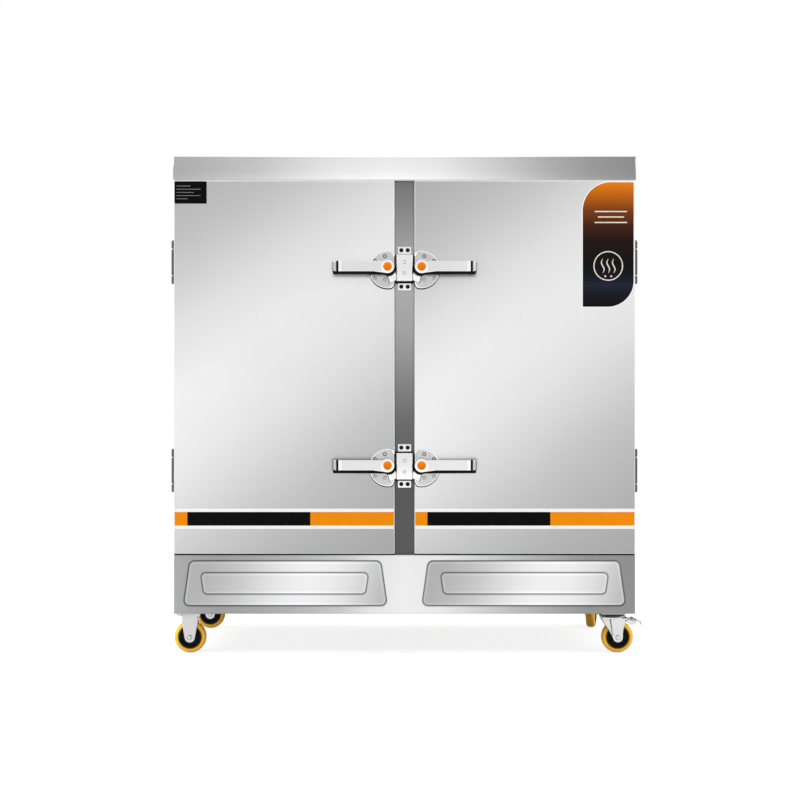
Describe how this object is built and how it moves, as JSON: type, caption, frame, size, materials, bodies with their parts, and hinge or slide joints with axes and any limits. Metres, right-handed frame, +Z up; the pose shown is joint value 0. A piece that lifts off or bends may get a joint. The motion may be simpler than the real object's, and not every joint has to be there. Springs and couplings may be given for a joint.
{
  "type": "rice steamer cabinet",
  "caption": "Stainless steel rice steamer cabinet with insulated double doors, lever latches on a centre post, orange stripe, steaming trays, base box and casters",
  "frame": {"origin": "on the floor, under the middle of the cabinet's body", "axes": "+Z up, the doors face -Y, +X to the right seen from the front"},
  "size_m": [1.4765, 0.69, 1.55],
  "materials": {
    "door_steel": "satin stainless sheet with a fine vertical grain",
    "body_steel": "brushed stainless sheet",
    "liner_steel": "smooth stainless sheet, slightly dulled by steam",
    "dark_steel": "brushed stainless sheet in shade, darker tone",
    "cast_steel": "polished casting with soft edges",
    "zinc_steel": "bright zinc-plated pressed steel",
    "frame_steel": "grey-painted square tube",
    "black_screw": "blackened steel, semi-gloss",
    "foam": "rigid cream foam, fine cells",
    "gasket_rubber": "matte grey silicone rubber",
    "orange_plastic": "glossy moulded orange plastic",
    "orange_tyre": "satin orange polyurethane",
    "black_plastic": "fine-textured black plastic",
    "brass": "turned brass, slightly dulled"
  },
  "bodies": {
    "cabinet": {"base_frame": "frame_steel", "base_front_panel": "door_steel", "base_shell": "body_steel", "side_panels": "body_steel", "back_panel": "body_steel", "top_cap": "door_steel", "front_frame": "liner_steel", "centre_post_cover": "dark_steel", "chamber_liners": "liner_steel", "insulation": "foam", "tray_racks": "liner_steel", "water_tank": "liner_steel", "heating_element": "liner_steel", "frame_hinge_leaves": "dark_steel", "latch_keepers": "cast_steel", "keeper_screws": "black_screw", "rigid_caster_forks": "zinc_steel", "swivel_caster_tops": "zinc_steel", "caster_bolts": "zinc_steel", "refill_box": "body_steel", "water_fittings": "brass", "control_box": "dark_steel", "steam_vents": "liner_steel"},
    "left_door": {"left_door_skin": "door_steel", "left_door_liner": "liner_steel", "left_door_core": "foam", "left_door_gasket": "gasket_rubber", "left_door_hinge_leaves": "dark_steel", "left_latch_plates": "cast_steel"},
    "left_upper_lever_body": {"left_upper_lever": "cast_steel", "left_upper_lever_cap": "orange_plastic"},
    "left_lower_lever_body": {"left_lower_lever": "cast_steel", "left_lower_lever_cap": "orange_plastic"},
    "left_tray_body": {"left_tray": "liner_steel"},
    "right_door": {"right_door_skin": "door_steel", "right_door_liner": "liner_steel", "right_door_core": "foam", "right_door_gasket": "gasket_rubber", "right_door_hinge_leaves": "dark_steel", "right_latch_plates": "cast_steel"},
    "right_upper_lever_body": {"right_upper_lever": "cast_steel", "right_upper_lever_cap": "orange_plastic"},
    "right_lower_lever_body": {"right_lower_lever": "cast_steel", "right_lower_lever_cap": "orange_plastic"},
    "right_tray_body": {"right_tray": "liner_steel"},
    "front_left_wheel": {"front_left_tyre": "orange_tyre", "front_left_wheel_core": "black_plastic"},
    "front_right_swivel": {"front_right_fork": "zinc_steel"},
    "front_right_wheel": {"front_right_tyre": "orange_tyre", "front_right_wheel_core": "black_plastic"},
    "front_right_pedal": {"front_right_brake_pedal": "zinc_steel"},
    "rear_left_wheel": {"rear_left_tyre": "orange_tyre", "rear_left_wheel_core": "black_plastic"},
    "rear_right_swivel": {"rear_right_fork": "zinc_steel"},
    "rear_right_wheel": {"rear_right_tyre": "orange_tyre", "rear_right_wheel_core": "black_plastic"},
    "rear_right_pedal": {"rear_right_brake_pedal": "zinc_steel"},
    "drain_lever_body": {"drain_lever": "zinc_steel"},
    "power_knob_body": {"power_knob": "black_plastic"},
    "float_body": {"float_arm": "liner_steel"}
  },
  "joints": [
    {"name": "left_door_hinge", "type": "hinge", "parent": "cabinet", "child": "left_door", "pos_m": [-0.7235, -0.259, 0.90025], "axis": [0, 0, -1], "range_deg": [0, 180]},
    {"name": "left_upper_lever_turn", "type": "hinge", "parent": "left_door", "child": "left_upper_lever_body", "pos_m": [-0.0525, -0.325, 1.2065], "axis": [0, 1, 0], "range_deg": [-15, 90]},
    {"name": "left_lower_lever_turn", "type": "hinge", "parent": "left_door", "child": "left_lower_lever_body", "pos_m": [-0.0525, -0.325, 0.5933], "axis": [0, 1, 0], "range_deg": [-15, 90]},
    {"name": "left_tray_slide", "type": "slide", "parent": "cabinet", "child": "left_tray_body", "axis": [0, -1, 0], "range_m": [0, 0.34]},
    {"name": "right_door_hinge", "type": "hinge", "parent": "cabinet", "child": "right_door", "pos_m": [0.7235, -0.259, 0.90025], "axis": [0, 0, 1], "range_deg": [0, 180]},
    {"name": "right_upper_lever_turn", "type": "hinge", "parent": "right_door", "child": "right_upper_lever_body", "pos_m": [0.0525, -0.325, 1.2065], "axis": [0, -1, 0], "range_deg": [-15, 90]},
    {"name": "right_lower_lever_turn", "type": "hinge", "parent": "right_door", "child": "right_lower_lever_body", "pos_m": [0.0525, -0.325, 0.5933], "axis": [0, -1, 0], "range_deg": [-15, 90]},
    {"name": "right_tray_slide", "type": "slide", "parent": "cabinet", "child": "right_tray_body", "axis": [0, -1, 0], "range_m": [0, 0.34]},
    {"name": "front_left_wheel_spin", "type": "hinge", "parent": "cabinet", "child": "front_left_wheel", "pos_m": [-0.674, -0.235, 0.05], "axis": [0, 1, 0], "continuous": true},
    {"name": "front_right_swivel_turn", "type": "hinge", "parent": "cabinet", "child": "front_right_swivel", "pos_m": [0.652, -0.235, 0.112], "axis": [0, 0, 1], "continuous": true},
    {"name": "front_right_wheel_spin", "type": "hinge", "parent": "front_right_swivel", "child": "front_right_wheel", "pos_m": [0.67, -0.235, 0.05], "axis": [0, 1, 0], "continuous": true},
    {"name": "front_right_pedal_tip", "type": "hinge", "parent": "front_right_swivel", "child": "front_right_pedal", "pos_m": [0.696, -0.235, 0.102], "axis": [0, 1, 0], "range_deg": [0, 10]},
    {"name": "rear_left_wheel_spin", "type": "hinge", "parent": "cabinet", "child": "rear_left_wheel", "pos_m": [-0.674, 0.235, 0.05], "axis": [0, 1, 0], "continuous": true},
    {"name": "rear_right_swivel_turn", "type": "hinge", "parent": "cabinet", "child": "rear_right_swivel", "pos_m": [0.652, 0.235, 0.112], "axis": [0, 0, 1], "continuous": true},
    {"name": "rear_right_wheel_spin", "type": "hinge", "parent": "rear_right_swivel", "child": "rear_right_wheel", "pos_m": [0.65605, 0.25254, 0.05], "axis": [-0.9744, 0.225, 0], "continuous": true},
    {"name": "rear_right_pedal_tip", "type": "hinge", "parent": "rear_right_swivel", "child": "rear_right_pedal", "pos_m": [0.6619, 0.27787, 0.102], "axis": [-0.9744, 0.225, 0], "range_deg": [0, 10]},
    {"name": "drain_lever_turn", "type": "hinge", "parent": "cabinet", "child": "drain_lever_body", "pos_m": [0.12, 0.215, 0.107], "axis": [0, 0, 1], "range_deg": [0, 90]},
    {"name": "power_knob_turn", "type": "hinge", "parent": "cabinet", "child": "power_knob_body", "pos_m": [0.5, 0.3393, 0.23], "axis": [0, 1, 0], "range_deg": [0, 90]},
    {"name": "float_swing", "type": "hinge", "parent": "cabinet", "child": "float_body", "pos_m": [-0.603, 0.2835, 0.255], "axis": [0, -1, 0], "range_deg": [-25, 8]}
  ],
  "couplings": [
    {"joint": "left_tray_slide", "follows": "left_door_hinge", "m_per_rad": 0.108},
    {"joint": "right_tray_slide", "follows": "right_door_hinge", "m_per_rad": 0.108}
  ]
}
